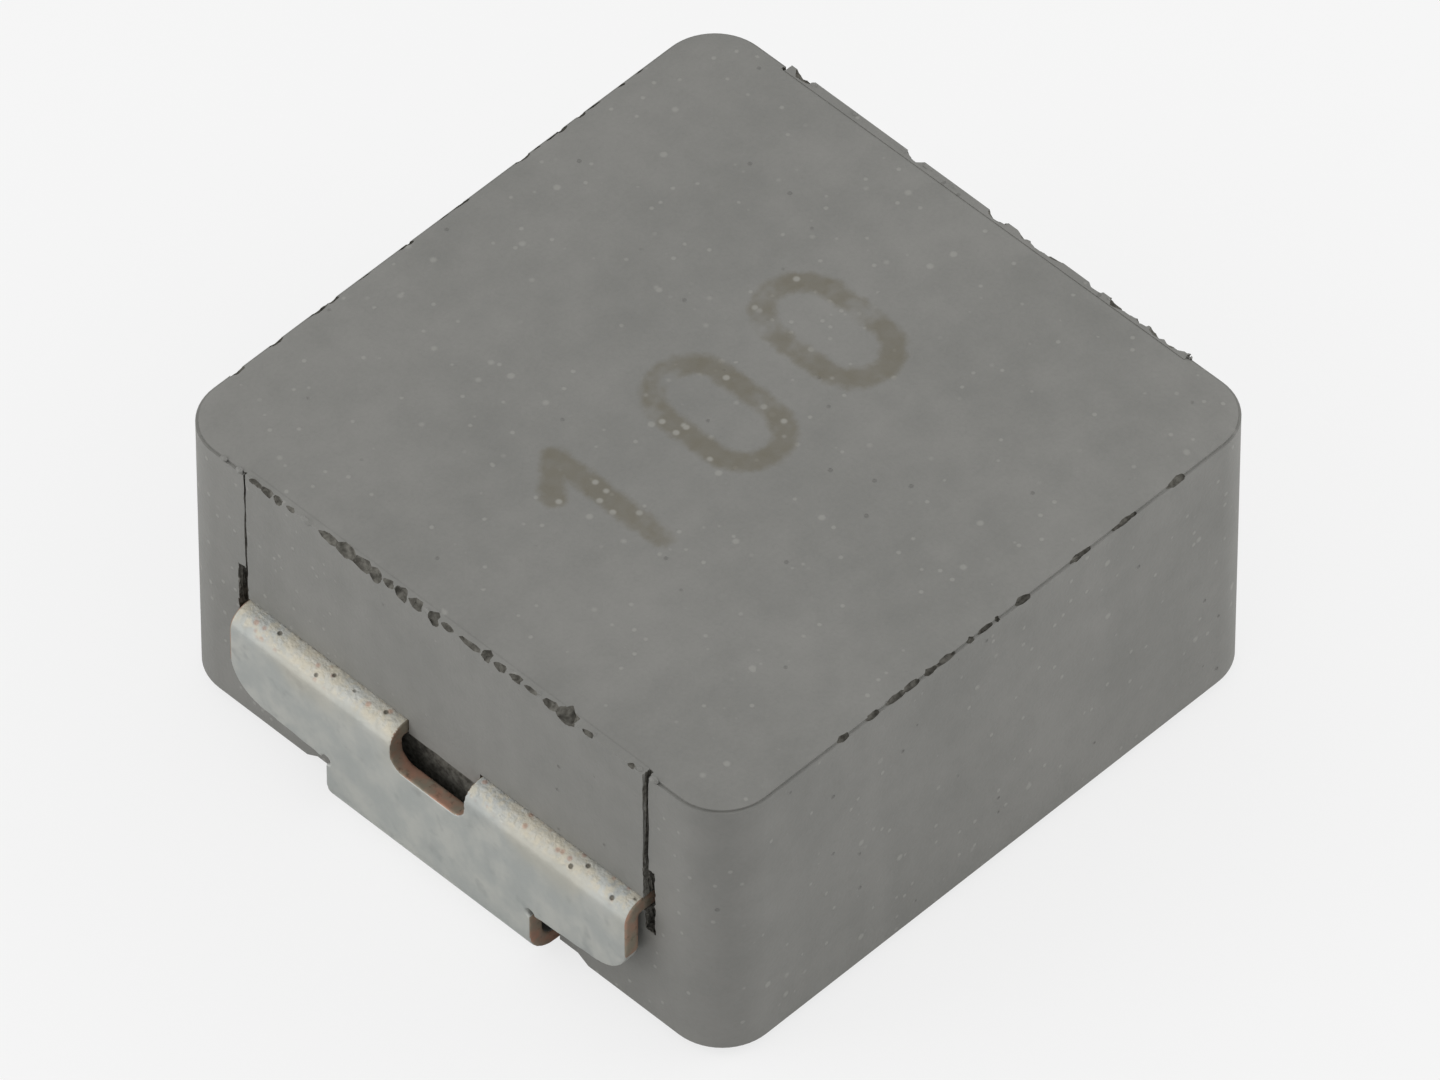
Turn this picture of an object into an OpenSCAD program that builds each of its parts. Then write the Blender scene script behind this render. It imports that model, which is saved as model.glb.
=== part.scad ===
// Shielded surface-mount power inductor: a coil of edge-wound copper ribbon pressed inside a
// block of iron powder, with a folded tinned-copper terminal at each end.
// Millimetres, +Z up. The origin is under the middle of the part, in the plane that it is
// soldered to. X runs from terminal to terminal.

/* [Pressed core] */
// Length of the core along X, between its two end faces
core_l = 12.6; // [12:0.1:16]
// Width of the core along Y
core_w = 12.6; // [11:0.1:16]
// Height of the core from its underside to its top face
core_h = 6; // [5.2:0.1:8]
// Radius of the four upright corners
corner_r = 1; // [0.3:0.1:1.4]
// How far the core's underside stands above the soldering plane
standoff = 0.1; // [0.04:0.02:0.24]
// How far the punched top face lies inside the die's walls
land_inset = 0.05; // [0.02:0.01:0.15]
// Height of the narrow land that the punch leaves under the top face's rim
land_h = 0.1; // [0.08:0.01:0.2]
// Width of the flat bevel round the top face
rim_w = 0.3; // [0.1:0.05:0.4]
// How far that bevel falls towards the edge
rim_drop = 0.05; // [0.02:0.01:0.06]

/* [End faces] */
// Width of the raised panel that the die's insert leaves above each terminal
panel_w = 9.1; // [7:0.1:9.4]
// How far the panel stands out of the end face
panel_out = 0.05; // [0.02:0.01:0.12]
// Width of the upright seam at the panel's open side
seam_w = 0.08; // [0.04:0.01:0.2]
// Width of the seam at its other side, where the insert fits closely
close_seam_w = 0.03; // [0.02:0.01:0.1]
// Depth of both seams below the end face
seam_d = 0.1; // [0.04:0.01:0.3]
// Width of the small hollow at the foot of the open seam, beside the terminal's end
hollow_w = 0.22; // [0.1:0.02:0.4]
// Height of that hollow
hollow_h = 1.5; // [0.6:0.1:1.8]
// Depth of that hollow
hollow_d = 0.25; // [0.1:0.05:0.5]
// Depth of the channel in the end face behind each terminal
channel_d = 0.14; // [0.05:0.01:0.3]
// Width of the foot's pocket along its ceiling
pocket_w = 6; // [5.2:0.1:7]
// How much wider the pocket is at each side where it opens in the underside
pocket_flare = 0.5; // [0:0.1:1]

/* [Terminals] */
// Thickness of the copper sheet
sheet_t = 0.3; // [0.2:0.05:0.35]
// Distance from the core's end face to the terminal's outer face
terminal_out = 0.45; // [0.41:0.01:0.7]
// Height of the sheet's middle plane above the core's underside, where it leaves the core
lead_h = 2.75; // [2.4:0.05:3]
// Width of the terminal across its wings
wing_w = 9.1; // [7:0.1:9.4]
// Height of the left wing's lower edge above the core's underside, as seen facing the terminal
left_wing_h = 1.28; // [0.8:0.02:1.5]
// Height of the right wing's lower edge above the core's underside
right_wing_h = 0.96; // [0.8:0.02:1.5]
// Radius of the wings' lower outer corners
wing_r = 0.9; // [0.2:0.1:1]
// Width of the tab that runs down and under the core
tab_w = 4.7; // [3.6:0.1:5]
// Length of the foot, from the terminal's outer face to the tab's end
foot_l = 2.3; // [1.6:0.1:2.8]
// Radius of the relief nick in the corner between wing and tab
nick_r = 0.15; // [0.05:0.05:0.2]
// Width of the notch across the upper bend
notch_w = 1.7; // [1:0.1:2.4]
// Height of the notch's floor above the core's underside
notch_floor_h = 2.12; // [1.8:0.02:2.2]
// Radius of the notch's lower corners
notch_r = 0.3; // [0.1:0.05:0.5]
// How far the notch runs into the core
notch_in = 0.6; // [0.3:0.1:0.9]
// How far the sheet runs into the core
weld_in = 1.3; // [1.1:0.1:1.5]
// Inside radius of the upper bend
upper_bend_r = 0.05; // [0.02:0.01:0.1]
// Outside radius of the upper bend, which is coined to a sharp corner
coin_r = 0.15; // [0.05:0.05:0.2]
// Inside radius of the lower bend
lower_bend_r = 0.3; // [0.2:0.05:0.4]

/* [Coil] */
// Inside radius of the winding
coil_in_r = 2.3; // [1.5:0.1:2.6]
// Width of the ribbon, across the winding
ribbon_w = 1.8; // [1:0.1:1.9]
// Thickness of the ribbon, along the winding's axis
ribbon_t = 0.4; // [0.25:0.05:0.4]
// Radius that the ribbon's rolled edges are cut back by
ribbon_edge = 0.1; // [0.05:0.01:0.12]
// Rise of the winding in one turn
turn_rise = 0.5; // [0.5:0.01:0.55]
// Number of turns
turns = 6; // [3:1:6]
// Length of the ribbon's end that is welded to a terminal
weld_l = 0.8; // [0.5:0.1:1]

/* [Fits] */
// Clearance of the powder from the metal pressed into it
press_gap = 0.03; // [0.01:0.01:0.06]
// Clearance over the foot in its pocket
foot_gap = 0.04; // [0.02:0.01:0.1]
// Clearance at each side of the tab in the channel behind it
channel_gap = 0.25; // [0.1:0.05:0.5]

/* [Hidden] */

eps = 0.01;
round_fn = 96;
steps_per_turn = 36;
ramp_steps = 12;

// Planes of the core
core_z = standoff;
core_top = core_z + core_h;
end_x = core_l / 2;

// The sheet where it leaves the core, and the terminal's outer face
lead_z = core_z + lead_h;
lead_top = lead_z + sheet_t / 2;
lead_under = lead_z - sheet_t / 2;
face_x = end_x + terminal_out;
inner_x = face_x - sheet_t;
weld_x = end_x - weld_in;
foot_x = face_x - foot_l;
notch_z = core_z + notch_floor_h;

// The pocket's ceiling, over the foot
pocket_z = sheet_t + foot_gap;

// The winding: its mean radius, half its rise, and where a tail leaves it and meets a terminal
coil_r = coil_in_r + ribbon_w / 2;
coil_out_r = coil_in_r + ribbon_w;
half_rise = turns * turn_rise / 2;
tail_level_x = sqrt(pow(coil_out_r, 2) - pow(coil_in_r, 2)) + press_gap;
tail_end_x = weld_x + weld_l;
tail_drop = half_rise - (sheet_t + ribbon_t) / 2;

// Outline of the core in plan, cut back all round by inset
module core_plan(inset = 0) {
    l = core_l - 2 * inset;
    w = core_w - 2 * inset;
    r = corner_r - inset;
    union() {
        square([l - 2 * r, w], center = true);
        square([l, w - 2 * r], center = true);
        for (sx = [-1, 1], sy = [-1, 1])
            translate([sx * (l / 2 - r), sy * (w / 2 - r)]) circle(r, $fn = round_fn);
    }
}

// Block as pressed: the die's walls, and the punch's narrow land at the top
module core_block() {
    translate([0, 0, core_z]) linear_extrude(core_h) core_plan(land_inset);
    translate([0, 0, core_z]) linear_extrude(core_h - land_h) core_plan();
}

// What the bevel takes off at the rim: X runs outward from the land's edge, Y up from the top face
module rim_section() {
    w = min(rim_w, corner_r - land_inset);
    reach = land_inset + panel_out + eps;
    polygon([[-w, 0], [reach, -rim_drop * (w + reach) / w], [reach, eps], [-w, eps]]);
}

// Bevel round the top face: four straight stretches and a quarter cone at each corner
module rim_bevel() {
    r = corner_r - land_inset;
    for (turn = [0:3]) rotate([0, 0, turn * 90]) {
        along_y = turn % 2 == 0;
        out = (along_y ? core_l : core_w) / 2;
        side = (along_y ? core_w : core_l) / 2 - corner_r;
        translate([out - land_inset, side, core_top]) rotate([90, 0, 0])
            linear_extrude(2 * side) rim_section();
        translate([out - corner_r, side, core_top]) rotate_extrude(angle = 90, $fn = round_fn)
            translate([r, 0]) rim_section();
    }
}

// Panel that the insert leaves on the end face at +X, from the sheet's underside to the top
module end_panel() {
    translate([end_x - seam_d, -panel_w / 2, lead_under])
        cube([seam_d + panel_out, panel_w, core_top - lead_under]);
}

// Seams at the panel's two sides, and the hollow at the open one beside the terminal's end
module panel_seams() {
    translate([end_x - seam_d, panel_w / 2, lead_under]) cube([seam_d + eps, seam_w, core_h]);
    translate([end_x - seam_d, -panel_w / 2 - close_seam_w, lead_under])
        cube([seam_d + eps, close_seam_w, core_h]);
    translate([end_x - hollow_d, wing_w / 2, lead_top - hollow_h / 2])
        cube([hollow_d + eps, hollow_w, hollow_h]);
}

// Channel in the end face behind the terminal, and the pocket over its foot
module terminal_recess() {
    channel_w = tab_w + 2 * channel_gap;
    translate([end_x - channel_d, -channel_w / 2, 0])
        cube([channel_d + eps, channel_w, lead_under]);
    translate([foot_x - channel_gap, 0, 0]) rotate([90, 0, 90])
        linear_extrude(end_x - foot_x + channel_gap + eps) polygon([
            [-pocket_w / 2 - pocket_flare, core_z - eps],
            [pocket_w / 2 + pocket_flare, core_z - eps],
            [pocket_w / 2, pocket_z],
            [-pocket_w / 2, pocket_z]]);
}

// Room for the sheet inside the core. Powder fills the notch as far as it runs in.
module lead_space() {
    difference() {
        translate([weld_x - press_gap, -wing_w / 2 - press_gap, lead_under - press_gap])
            cube([weld_in + panel_out + 2 * press_gap, wing_w + 2 * press_gap, sheet_t + 2 * press_gap]);
        translate([end_x - notch_in + press_gap, -notch_w / 2 + press_gap, lead_under - 2 * press_gap])
            cube([notch_in + panel_out, notch_w - 2 * press_gap, sheet_t + 4 * press_gap]);
    }
}

// Height of a tail's middle above the level that it leaves the winding at, at a distance x
function ramp(x) = let (t = min(1, max(0, (x - tail_level_x) / (weld_x - tail_level_x))))
    -tail_drop * t * t * (3 - 2 * t);
function ramp_slope(x) = let (t = min(1, max(0, (x - tail_level_x) / (weld_x - tail_level_x))))
    atan(-tail_drop * 6 * t * (1 - t) / (weld_x - tail_level_x));

// Distances along a tail: where it leaves the winding, down its ramp, and its welded end
tail_x = concat([0, tail_level_x / 2],
    [for (i = [0:ramp_steps]) tail_level_x + (weld_x - tail_level_x) * i / ramp_steps],
    [tail_end_x]);

// One side of a tail's profile, seen along Y: up is the way to the side
function tail_side(up) = [for (x = tail_x) let (a = ramp_slope(x)) [x - up * sin(a), ramp(x) + up * cos(a)]];

// Room for the winding and its two tails
module coil_space() {
    translate([0, 0, lead_z]) rotate_extrude($fn = 2 * round_fn)
        translate([coil_in_r - press_gap, -half_rise - ribbon_t / 2 - press_gap])
            square([ribbon_w + 2 * press_gap, 2 * half_rise + ribbon_t + 2 * press_gap]);
    half = ribbon_t / 2 + press_gap;
    upper = tail_side(half);
    lower = tail_side(-half);
    profile = concat(upper, [[tail_end_x + press_gap, upper[len(upper) - 1][1]]],
        [[tail_end_x + press_gap, lower[len(lower) - 1][1]]], [for (i = [len(lower) - 1:-1:0]) lower[i]]);
    for (end = [0, 1])
        translate([0, 0, lead_z]) rotate([0, end * 180, 0])
            translate([0, -coil_r + ribbon_w / 2 + press_gap, half_rise]) rotate([90, 0, 0])
                linear_extrude(ribbon_w + 2 * press_gap) polygon(profile);
}

module pressed_core() {
    color([0.53, 0.52, 0.50]) difference() {
        union() {
            core_block();
            for (side = [0, 1]) rotate([0, 0, side * 180]) end_panel();
        }
        rim_bevel();
        for (side = [0, 1]) rotate([0, 0, side * 180]) {
            panel_seams();
            terminal_recess();
            lead_space();
        }
        coil_space();
    }
}

// A station is [middle, across, up]: the ribbon's middle and its two unit directions
function turn_station(turn) = let (a = 360 * turn - 90)
    [[coil_r * cos(a), coil_r * sin(a), (turn - turns / 2) * turn_rise], [cos(a), sin(a), 0], [0, 0, 1]];
function tail_station(x) = let (a = ramp_slope(x))
    [[x, -coil_r, half_rise + ramp(x)], [0, -1, 0], [-sin(a), 0, cos(a)]];
function half_turned(s) = [for (v = s) [-v[0], v[1], -v[2]]];

// The whole ribbon from end to end: the lower tail, the turns and the upper tail
turn_steps = turns * steps_per_turn;
upper_tail = [for (x = tail_x) tail_station(x)];
lower_tail = [for (i = [len(tail_x) - 1:-1:0]) let (s = half_turned(upper_tail[i])) [s[0], s[1], -s[2]]];
winding = [for (i = [1:turn_steps - 1]) turn_station(i / steps_per_turn)];
coil_stations = concat(lower_tail, winding, upper_tail);

// Section of the ribbon, with its rolled edges, as distances across and up
rib_x = ribbon_w / 2;
rib_z = ribbon_t / 2;
flat_x = rib_x - ribbon_edge;
flat_z = rib_z - ribbon_edge;
rib_section = [[rib_x, flat_z], [flat_x, rib_z], [-flat_x, rib_z], [-rib_x, flat_z],
    [-rib_x, -flat_z], [-flat_x, -rib_z], [flat_x, -rib_z], [rib_x, -flat_z]];

module coil() {
    sides = len(rib_section);
    last = len(coil_stations) - 1;
    points = [for (s = coil_stations, p = rib_section) s[0] + p[0] * s[1] + p[1] * s[2]];
    wall = [for (i = [0:last - 1], j = [0:sides - 1]) let (k = (j + 1) % sides)
        [i * sides + j, i * sides + k, (i + 1) * sides + k, (i + 1) * sides + j]];
    caps = [[for (j = [sides - 1:-1:0]) j], [for (j = [0:sides - 1]) last * sides + j]];
    color([0.70, 0.36, 0.16]) translate([0, 0, lead_z])
        polyhedron(points, concat(wall, caps), convexity = 10);
}

// Coined bend of the sheet in the X-Z plane, from the centre of its inside radius up and out
module coined_bend(centre) {
    outer_c = [face_x - coin_r, lead_top - coin_r];
    difference() {
        union() {
            translate(centre) square([outer_c[0] - centre[0], lead_top - centre[1]]);
            translate(centre) square([face_x - centre[0], outer_c[1] - centre[1]]);
            translate(outer_c) circle(coin_r, $fn = round_fn);
        }
        translate(centre) circle(upper_bend_r, $fn = round_fn);
    }
}

// Rolled bend of the sheet in the same plane, from the centre of its inside radius down and out
module rolled_bend(centre) {
    reach = lower_bend_r + sheet_t;
    translate(centre) intersection() {
        difference() {
            circle(reach, $fn = round_fn);
            circle(lower_bend_r, $fn = round_fn);
        }
        translate([0, -reach]) square(reach);
    }
}

// The folded sheet's profile: weld tab, upper bend, outer wall, lower bend, foot
module sheet_profile() {
    upper_c = [inner_x - upper_bend_r, lead_under - upper_bend_r];
    lower_c = [inner_x - lower_bend_r, sheet_t + lower_bend_r];
    translate([weld_x, lead_under]) square([upper_c[0] - weld_x, sheet_t]);
    coined_bend(upper_c);
    translate([inner_x, lower_c[1]]) square([sheet_t, upper_c[1] - lower_c[1]]);
    rolled_bend(lower_c);
    translate([foot_x, 0]) square([lower_c[0] - foot_x, sheet_t]);
}

// Right half of the terminal's front outline, seen along X: half the tab, with a wing whose
// lower edge is at the height root_z and whose relief nick is in the corner between the two
module half_outline(root_z) {
    corner = [wing_w / 2 - wing_r, root_z + wing_r];
    difference() {
        union() {
            translate([0, -eps]) square([tab_w / 2, lead_top + 2 * eps]);
            translate([0, root_z]) square([corner[0], lead_top + eps - root_z]);
            translate([0, corner[1]]) square([wing_w / 2, lead_top + eps - corner[1]]);
            translate(corner) circle(wing_r, $fn = round_fn);
        }
        translate([tab_w / 2, root_z]) circle(nick_r, $fn = round_fn / 2);
    }
}

// Front outline of the terminal at +X: two wings over a tab
module terminal_outline() {
    half_outline(core_z + right_wing_h);
    mirror([1, 0]) half_outline(core_z + left_wing_h);
}

// Notch in the same view: a U that is open upward
module notch_outline() {
    translate([-notch_w / 2 + notch_r, notch_z]) square([notch_w - 2 * notch_r, lead_top]);
    translate([-notch_w / 2, notch_z + notch_r]) square([notch_w, lead_top]);
    for (side = [-1, 1])
        translate([side * (notch_w / 2 - notch_r), notch_z + notch_r]) circle(notch_r, $fn = round_fn);
}

// The terminal at +X
module terminal() {
    color([0.78, 0.79, 0.77]) difference() {
        intersection() {
            translate([0, wing_w / 2, 0]) rotate([90, 0, 0]) linear_extrude(wing_w) sheet_profile();
            rotate([90, 0, 90]) linear_extrude(face_x + eps) terminal_outline();
        }
        translate([end_x - notch_in, 0, 0]) rotate([90, 0, 90])
            linear_extrude(notch_in + terminal_out + eps) notch_outline();
    }
}

module terminal_left() { rotate([0, 0, 180]) terminal(); }
module terminal_right() { terminal(); }

pressed_core();
coil();
terminal_left();
terminal_right();
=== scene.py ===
"""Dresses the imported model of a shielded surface-mount power inductor.

The part is a block of iron powder pressed round a winding of copper ribbon, with a folded terminal
of tinned copper sheet at each end. The block and the terminals are modelled here with their worn
and crumbled edges, and stand for the plain solids of the same name. The winding keeps its own
solid and gets its enamel. Sizes are in millimetres, and are turned into metres where a mesh or a
lamp is made.
"""

from __future__ import annotations

import sys
import logging
import math
import random
from contextlib import contextmanager
from dataclasses import dataclass, field
from enum import Enum
from typing import Any, Callable, Iterator, Sequence

import bmesh
import bpy
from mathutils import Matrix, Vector


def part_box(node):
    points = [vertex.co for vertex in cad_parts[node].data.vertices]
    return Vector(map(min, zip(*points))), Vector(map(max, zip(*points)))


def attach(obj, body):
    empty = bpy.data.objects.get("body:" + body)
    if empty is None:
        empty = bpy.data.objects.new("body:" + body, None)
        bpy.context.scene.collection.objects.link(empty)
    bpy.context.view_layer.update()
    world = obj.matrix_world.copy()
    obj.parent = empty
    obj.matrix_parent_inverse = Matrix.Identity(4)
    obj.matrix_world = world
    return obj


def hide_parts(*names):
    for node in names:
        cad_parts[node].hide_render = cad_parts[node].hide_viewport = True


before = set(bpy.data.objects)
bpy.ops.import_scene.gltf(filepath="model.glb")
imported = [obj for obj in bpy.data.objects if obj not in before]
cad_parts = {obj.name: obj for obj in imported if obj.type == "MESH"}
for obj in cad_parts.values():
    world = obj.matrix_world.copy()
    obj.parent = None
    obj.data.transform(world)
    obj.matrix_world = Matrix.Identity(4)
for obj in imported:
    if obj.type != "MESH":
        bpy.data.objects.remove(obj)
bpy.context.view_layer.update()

LOG = logging.getLogger("inductor")
MM = 0.001
ROOT = "root"

Colour = tuple[float, float, float, float]
Spot = tuple[float, float, float]


def tone(red: int, green: int, blue: int) -> Colour:
    """Turns a display colour into the linear one that a shader takes.

    Args:
        red: Red, from 0 to 255.
        green: Green, from 0 to 255.
        blue: Blue, from 0 to 255.

    Returns:
        Linear red, green, blue and full alpha.
    """
    linear = []
    for value in (red, green, blue):
        share = value / 255
        linear.append(share / 12.92 if share <= 0.04045 else ((share + 0.055) / 1.055) ** 2.4)
    return (linear[0], linear[1], linear[2], 1.0)


def node_box(node: str) -> tuple[Vector, Vector]:
    """Gives the lowest and highest corner of a solid.

    Args:
        node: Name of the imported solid.

    Returns:
        Both corners, in millimetres.
    """
    low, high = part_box(node)
    return low / MM, high / MM


class Joining(Enum):
    """What a tool solid does to the piece that it is set into."""

    CUT = "DIFFERENCE"
    ADD = "UNION"


class Workpiece:
    """A mesh that is shaped with modelling operators, in millimetres until it is finished."""

    def __init__(self, body: bpy.types.Object) -> None:
        """Takes hold of an object that a primitive operator has just added."""
        self.body = body

    @classmethod
    def block(cls, name: str, low: Sequence[float], high: Sequence[float]) -> "Workpiece":
        """Starts a piece as a box.

        Args:
            name: Name of the piece.
            low: Lowest corner.
            high: Highest corner.

        Returns:
            The piece.
        """
        leave_edit()
        middle = (Vector(low) + Vector(high)) / 2
        size = Vector(high) - Vector(low)
        bpy.ops.mesh.primitive_cube_add(size=1, location=middle, scale=size)
        return cls._started(name)

    @classmethod
    def rod(cls, name: str, start: Sequence[float], length: float, radius: float) -> "Workpiece":
        """Starts a piece as a round rod along X.

        Args:
            name: Name of the piece.
            start: Middle of its first end.
            length: How far it runs along +X.
            radius: Its radius.

        Returns:
            The piece.
        """
        leave_edit()
        middle = Vector(start) + Vector((length / 2, 0, 0))
        bpy.ops.mesh.primitive_cylinder_add(vertices=24, radius=radius, depth=length,
                                            location=middle, rotation=(0, math.pi / 2, 0))
        return cls._started(name)

    @classmethod
    def crumb(cls, name: str, middle: Sequence[float], radii: Sequence[float], seed: int,
              rough: float = 0.22) -> "Workpiece":
        """Starts a piece as an uneven grain.

        Args:
            name: Name of the piece.
            middle: Middle of the grain.
            radii: Its reach along each axis.
            seed: Which of the uneven shapes it takes.
            rough: How far its corners are moved, as a share of its smallest reach.

        Returns:
            The piece.
        """
        leave_edit()
        bpy.ops.mesh.primitive_ico_sphere_add(subdivisions=2, radius=1, location=Vector(middle),
                                              scale=Vector(radii))
        piece = cls._started(name)
        with piece.faces():
            bpy.ops.transform.vertex_random(offset=rough * min(radii), uniform=1.0, seed=seed)
        return piece

    @classmethod
    def _started(cls, name: str) -> "Workpiece":
        """Names the primitive that was just added and puts its place in its mesh."""
        body = bpy.context.active_object
        body.name = name
        body.data.name = name
        bpy.ops.object.transform_apply(location=True, rotation=True, scale=True)
        return cls(body)

    def hold(self) -> None:
        """Selects this piece alone."""
        leave_edit()
        self.body.select_set(True)
        bpy.context.view_layer.objects.active = self.body

    @contextmanager
    def faces(self, wanted: Callable[[Vector, Vector], bool] | None = None) -> Iterator[None]:
        """Opens the piece for editing with faces selected.

        Args:
            wanted: Says from a face's middle and normal whether it is selected; all are if left out.

        Yields:
            Nothing: operators act while the piece is open.
        """
        self.hold()
        bpy.ops.object.mode_set(mode="EDIT")
        bpy.ops.mesh.select_mode(type="FACE")
        bpy.ops.mesh.select_all(action="SELECT" if wanted is None else "DESELECT")
        if wanted is not None:
            mesh = bmesh.from_edit_mesh(self.body.data)
            for face in mesh.faces:
                face.select_set(wanted(face.calc_center_median(), face.normal))
            bmesh.update_edit_mesh(self.body.data)
        yield
        bpy.ops.object.mode_set(mode="OBJECT")

    @contextmanager
    def edges(self, wanted: Callable[[Vector, Vector], bool]) -> Iterator[None]:
        """Opens the piece for editing with edges selected.

        Args:
            wanted: Says from an edge's middle and its unit direction whether it is selected.

        Yields:
            Nothing: operators act while the piece is open.
        """
        self.hold()
        bpy.ops.object.mode_set(mode="EDIT")
        bpy.ops.mesh.select_mode(type="EDGE")
        bpy.ops.mesh.select_all(action="DESELECT")
        mesh = bmesh.from_edit_mesh(self.body.data)
        for edge in mesh.edges:
            ends = [vertex.co for vertex in edge.verts]
            edge.select_set(wanted((ends[0] + ends[1]) / 2, (ends[1] - ends[0]).normalized()))
        bmesh.update_edit_mesh(self.body.data)
        yield
        bpy.ops.object.mode_set(mode="OBJECT")

    def modify(self, kind: str, **settings: Any) -> None:
        """Adds a modifier and applies it.

        Args:
            kind: Type of the modifier.
            **settings: Its settings by name.
        """
        self.hold()
        modifier = self.body.modifiers.new(kind.lower(), kind)
        for name, value in settings.items():
            setattr(modifier, name, value)
        bpy.ops.object.modifier_apply(modifier=modifier.name)

    def set_in(self, tool: "Workpiece", joining: Joining, crossing: bool = False) -> None:
        """Cuts a tool solid out of the piece or adds it, and uses it up.

        Args:
            tool: The tool solid.
            joining: Whether it cuts or adds.
            crossing: Whether parts of the tool may run through each other.
        """
        self.modify("BOOLEAN", operation=joining.value, object=tool.body, solver="EXACT",
                    use_self=crossing, material_mode="TRANSFER")
        bpy.data.meshes.remove(tool.body.data)

    def take_in(self, others: Sequence["Workpiece"]) -> None:
        """Makes other pieces part of this one's mesh.

        Args:
            others: The pieces, which are used up.
        """
        self.hold()
        for other in others:
            other.body.select_set(True)
        if others:
            bpy.ops.object.join()

    def coat(self, *materials: bpy.types.Material) -> None:
        """Gives the piece its materials, in the order of its slots."""
        self.body.data.materials.clear()
        for material in materials:
            self.body.data.materials.append(material)

    def smooth(self, degrees: float) -> None:
        """Shades the piece smooth where its faces meet at less than an angle.

        Args:
            degrees: The angle.
        """
        self.hold()
        bpy.ops.object.shade_smooth_by_angle(angle=math.radians(degrees))

    def to_metres(self) -> None:
        """Turns the finished mesh from millimetres into metres."""
        self.hold()
        self.body.scale = (MM, MM, MM)
        bpy.ops.object.transform_apply(location=True, rotation=True, scale=True)

    def report(self) -> None:
        """Logs how many triangles the piece has."""
        faces = sum(len(face.vertices) - 2 for face in self.body.data.polygons)
        LOG.info("%s: %d triangles", self.body.name, faces)


def leave_edit() -> None:
    """Leaves edit mode and deselects everything."""
    if bpy.context.mode != "OBJECT":
        bpy.ops.object.mode_set(mode="OBJECT")
    bpy.ops.object.select_all(action="DESELECT")


class Amount:
    """A number that varies over a surface, on which Python's operators add shader maths."""

    def __init__(self, recipe: "Recipe", socket: bpy.types.NodeSocket) -> None:
        """Wraps a socket of a recipe's node tree."""
        self.recipe = recipe
        self.socket = socket

    def _maths(self, operation: str, *values: Any) -> "Amount":
        """Adds one Math node and gives its result."""
        inputs = dict(enumerate(values))
        made = self.recipe.node("ShaderNodeMath", {"operation": operation}, inputs)
        return Amount(self.recipe, made.outputs[0])

    def __add__(self, other: Any) -> "Amount":
        """Adds."""
        return self._maths("ADD", self, other)

    __radd__ = __add__

    def __sub__(self, other: Any) -> "Amount":
        """Subtracts."""
        return self._maths("SUBTRACT", self, other)

    def __rsub__(self, other: Any) -> "Amount":
        """Subtracts from a plain number."""
        return self._maths("SUBTRACT", other, self)

    def __mul__(self, other: Any) -> "Amount":
        """Multiplies."""
        return self._maths("MULTIPLY", self, other)

    __rmul__ = __mul__

    def __truediv__(self, other: Any) -> "Amount":
        """Divides."""
        return self._maths("DIVIDE", self, other)

    def __abs__(self) -> "Amount":
        """Drops the sign."""
        return self._maths("ABSOLUTE", self)

    def least(self, other: Any) -> "Amount":
        """Gives the smaller of two."""
        return self._maths("MINIMUM", self, other)

    def most(self, other: Any) -> "Amount":
        """Gives the larger of two."""
        return self._maths("MAXIMUM", self, other)

    def root(self) -> "Amount":
        """Gives the square root."""
        return self._maths("SQRT", self)

    def ramp(self, start: float, end: float) -> "Amount":
        """Rises smoothly from 0 at one value to 1 at another.

        Args:
            start: Value that gives 0.
            end: Value that gives 1, above or below start.

        Returns:
            The smooth step.
        """
        low, high = min(start, end), max(start, end)
        made = self.recipe.node("ShaderNodeMapRange", {"interpolation_type": "SMOOTHSTEP"},
                                {"Value": self, "From Min": low, "From Max": high})
        step = Amount(self.recipe, made.outputs[0])
        return step if start < end else 1 - step


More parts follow.
